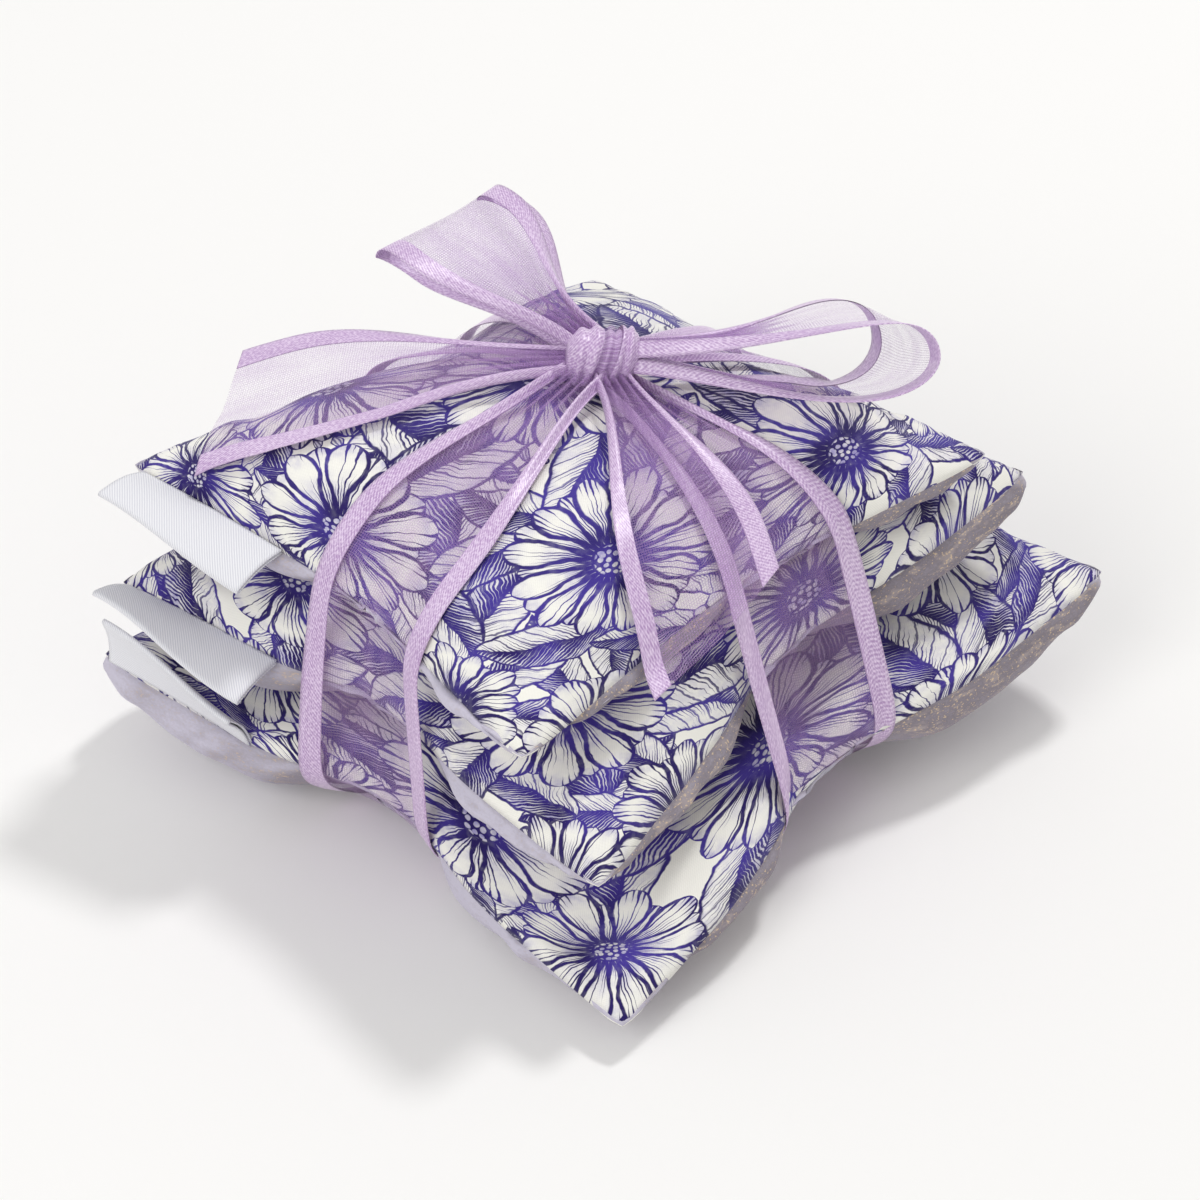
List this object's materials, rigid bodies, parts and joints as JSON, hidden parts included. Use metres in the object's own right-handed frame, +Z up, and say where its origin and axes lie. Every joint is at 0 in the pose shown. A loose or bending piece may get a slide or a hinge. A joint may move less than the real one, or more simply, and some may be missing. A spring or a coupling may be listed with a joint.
{
  "type": "lavender sachet",
  "caption": "Piled square sachets of dried lavender with printed tops, napped backs and bare side labels, tied both ways with a sheer ribbon and a bow, to scent drawers and linen.",
  "frame": {"origin": "middle of the ribbon crossing under the pile, on the plane the bundle stands on", "axes": "+Z up; +X and +Y along the sachets' sides; the sewn-in labels face -Y"},
  "size_m": [0.1005, 0.1128, 0.0723],
  "materials": {
    "print_cotton": "woven cotton, violet pen-drawn flowers on cream",
    "back_velvet": "grey-lavender napped cloth with a soft sheen",
    "seam_thread": "sewing thread",
    "lavender_buds": "loose dried flower buds",
    "label_tape": "white woven tape, bare",
    "organza_ribbon": "sheer lilac weave with satin edges"
  },
  "bodies": {
    "bundle": {"sachet_bottom_print_panel": "print_cotton", "sachet_bottom_back_panel": "back_velvet", "sachet_bottom_seam": "seam_thread", "sachet_bottom_lavender_fill": "lavender_buds", "sachet_middle_print_panel": "print_cotton", "sachet_middle_back_panel": "back_velvet", "sachet_middle_seam": "seam_thread", "sachet_middle_lavender_fill": "lavender_buds", "sachet_top_print_panel": "print_cotton", "sachet_top_back_panel": "back_velvet", "sachet_top_seam": "seam_thread", "sachet_top_lavender_fill": "lavender_buds", "ribbon_wrap_crossways": "organza_ribbon", "ribbon_wrap_lengthways": "organza_ribbon", "bow_knot": "organza_ribbon"},
    "label_bottom": {"sachet_bottom_label": "label_tape"},
    "label_middle": {"sachet_middle_label": "label_tape"},
    "label_top": {"sachet_top_label": "label_tape"},
    "loop_left": {"bow_loop_left": "organza_ribbon"},
    "loop_right": {"bow_loop_right": "organza_ribbon"},
    "tail_left": {"ribbon_tail_left": "organza_ribbon"},
    "tail_front": {"ribbon_tail_front": "organza_ribbon"}
  },
  "joints": [
    {"name": "label_bottom_flap", "type": "hinge", "parent": "bundle", "child": "label_bottom", "pos_m": [-0.03876, -0.05636, 0.01442], "axis": [-0.982, -0.1626, 0.0957], "range_deg": [-45, 15], "stiffness_Nm_per_rad": 0.00005},
    {"name": "label_middle_flap", "type": "hinge", "parent": "bundle", "child": "label_middle", "pos_m": [-0.03501, -0.05554, 0.02898], "axis": [-0.9729, -0.2199, 0.0713], "range_deg": [0, 50], "stiffness_Nm_per_rad": 0.00005},
    {"name": "label_top_flap", "type": "hinge", "parent": "bundle", "child": "label_top", "pos_m": [-0.03807, -0.04945, 0.04351], "axis": [-0.9948, -0.097, 0.0319], "range_deg": [0, 60], "stiffness_Nm_per_rad": 0.00005},
    {"name": "loop_left_lift", "type": "hinge", "parent": "bundle", "child": "loop_left", "pos_m": [0.0015, -0.0015, 0.05867], "axis": [0.0349, 0.9994, 0], "range_deg": [-4, 60], "stiffness_Nm_per_rad": 0.001},
    {"name": "loop_right_lift", "type": "hinge", "parent": "bundle", "child": "loop_right", "pos_m": [0.0015, -0.0015, 0.05867], "axis": [0.6947, -0.7193, 0], "range_deg": [-6, 60], "stiffness_Nm_per_rad": 0.001},
    {"name": "tail_left_lift", "type": "hinge", "parent": "bundle", "child": "tail_left", "pos_m": [0.0015, -0.0015, 0.05867], "axis": [-0.4788, 0.5204, 0.7071], "range_deg": [0, 45]},
    {"name": "tail_front_lift", "type": "hinge", "parent": "bundle", "child": "tail_front", "pos_m": [0.0015, -0.0015, 0.05867], "axis": [-0.3924, -0.9198, 0], "range_deg": [0, 60]}
  ]
}
